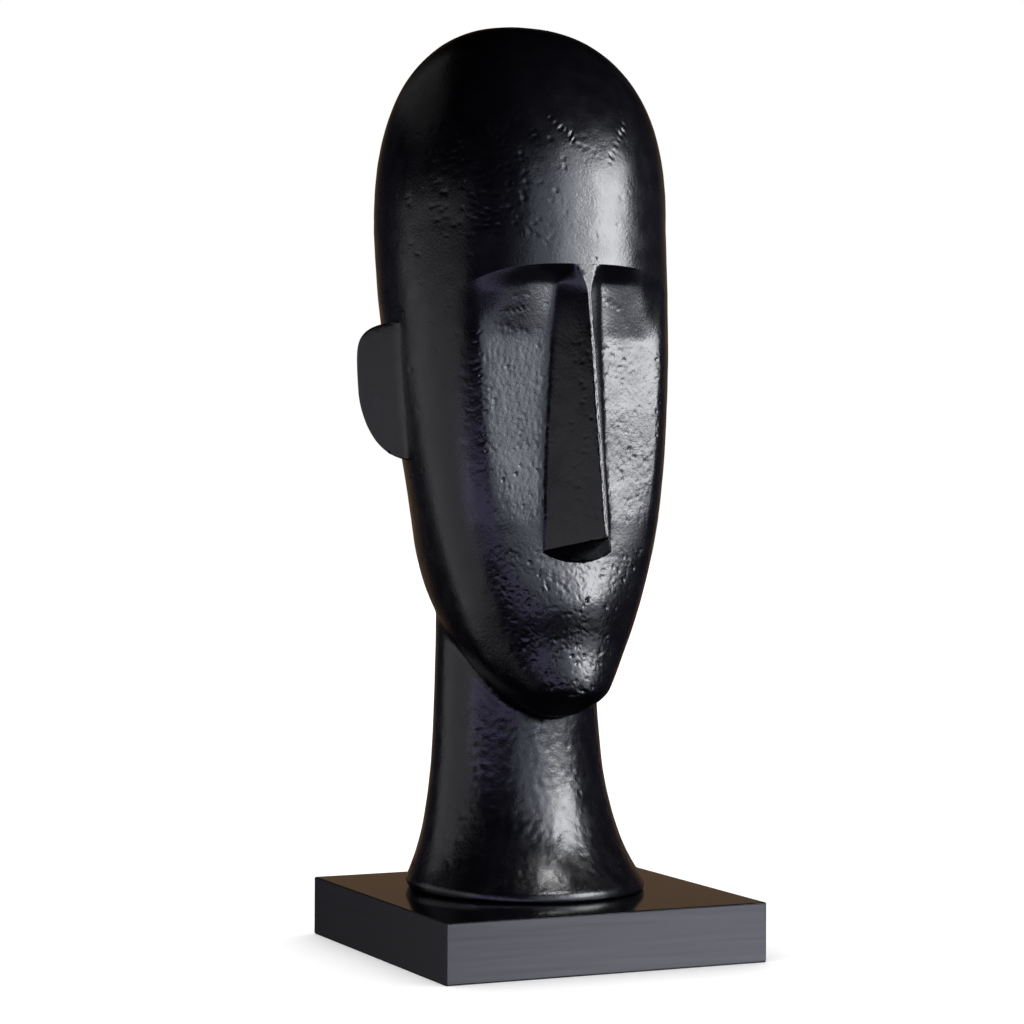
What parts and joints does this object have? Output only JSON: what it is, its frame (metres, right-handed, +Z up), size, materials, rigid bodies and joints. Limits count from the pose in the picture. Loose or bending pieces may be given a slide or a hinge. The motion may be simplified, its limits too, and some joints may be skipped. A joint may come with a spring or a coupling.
{
  "type": "abstract head sculpture",
  "caption": "Stylised long head with a wedge nose, sunk eye panels and flap ears, on a flared neck and a square plinth.",
  "frame": {"origin": "middle of the plinth's underside", "axes": "+Z up, the face looks along -Y, +X is to the right of a viewer in front of the face"},
  "size_m": [0.18, 0.18, 0.4896],
  "materials": {
    "satin_black_casting": "satin black cast resin with a fine dented skin",
    "black_lacquered_plinth": "smooth black lacquer, polished on top"
  },
  "bodies": {
    "root": {"head": "satin_black_casting", "plinth": "black_lacquered_plinth"}
  },
  "joints": []
}
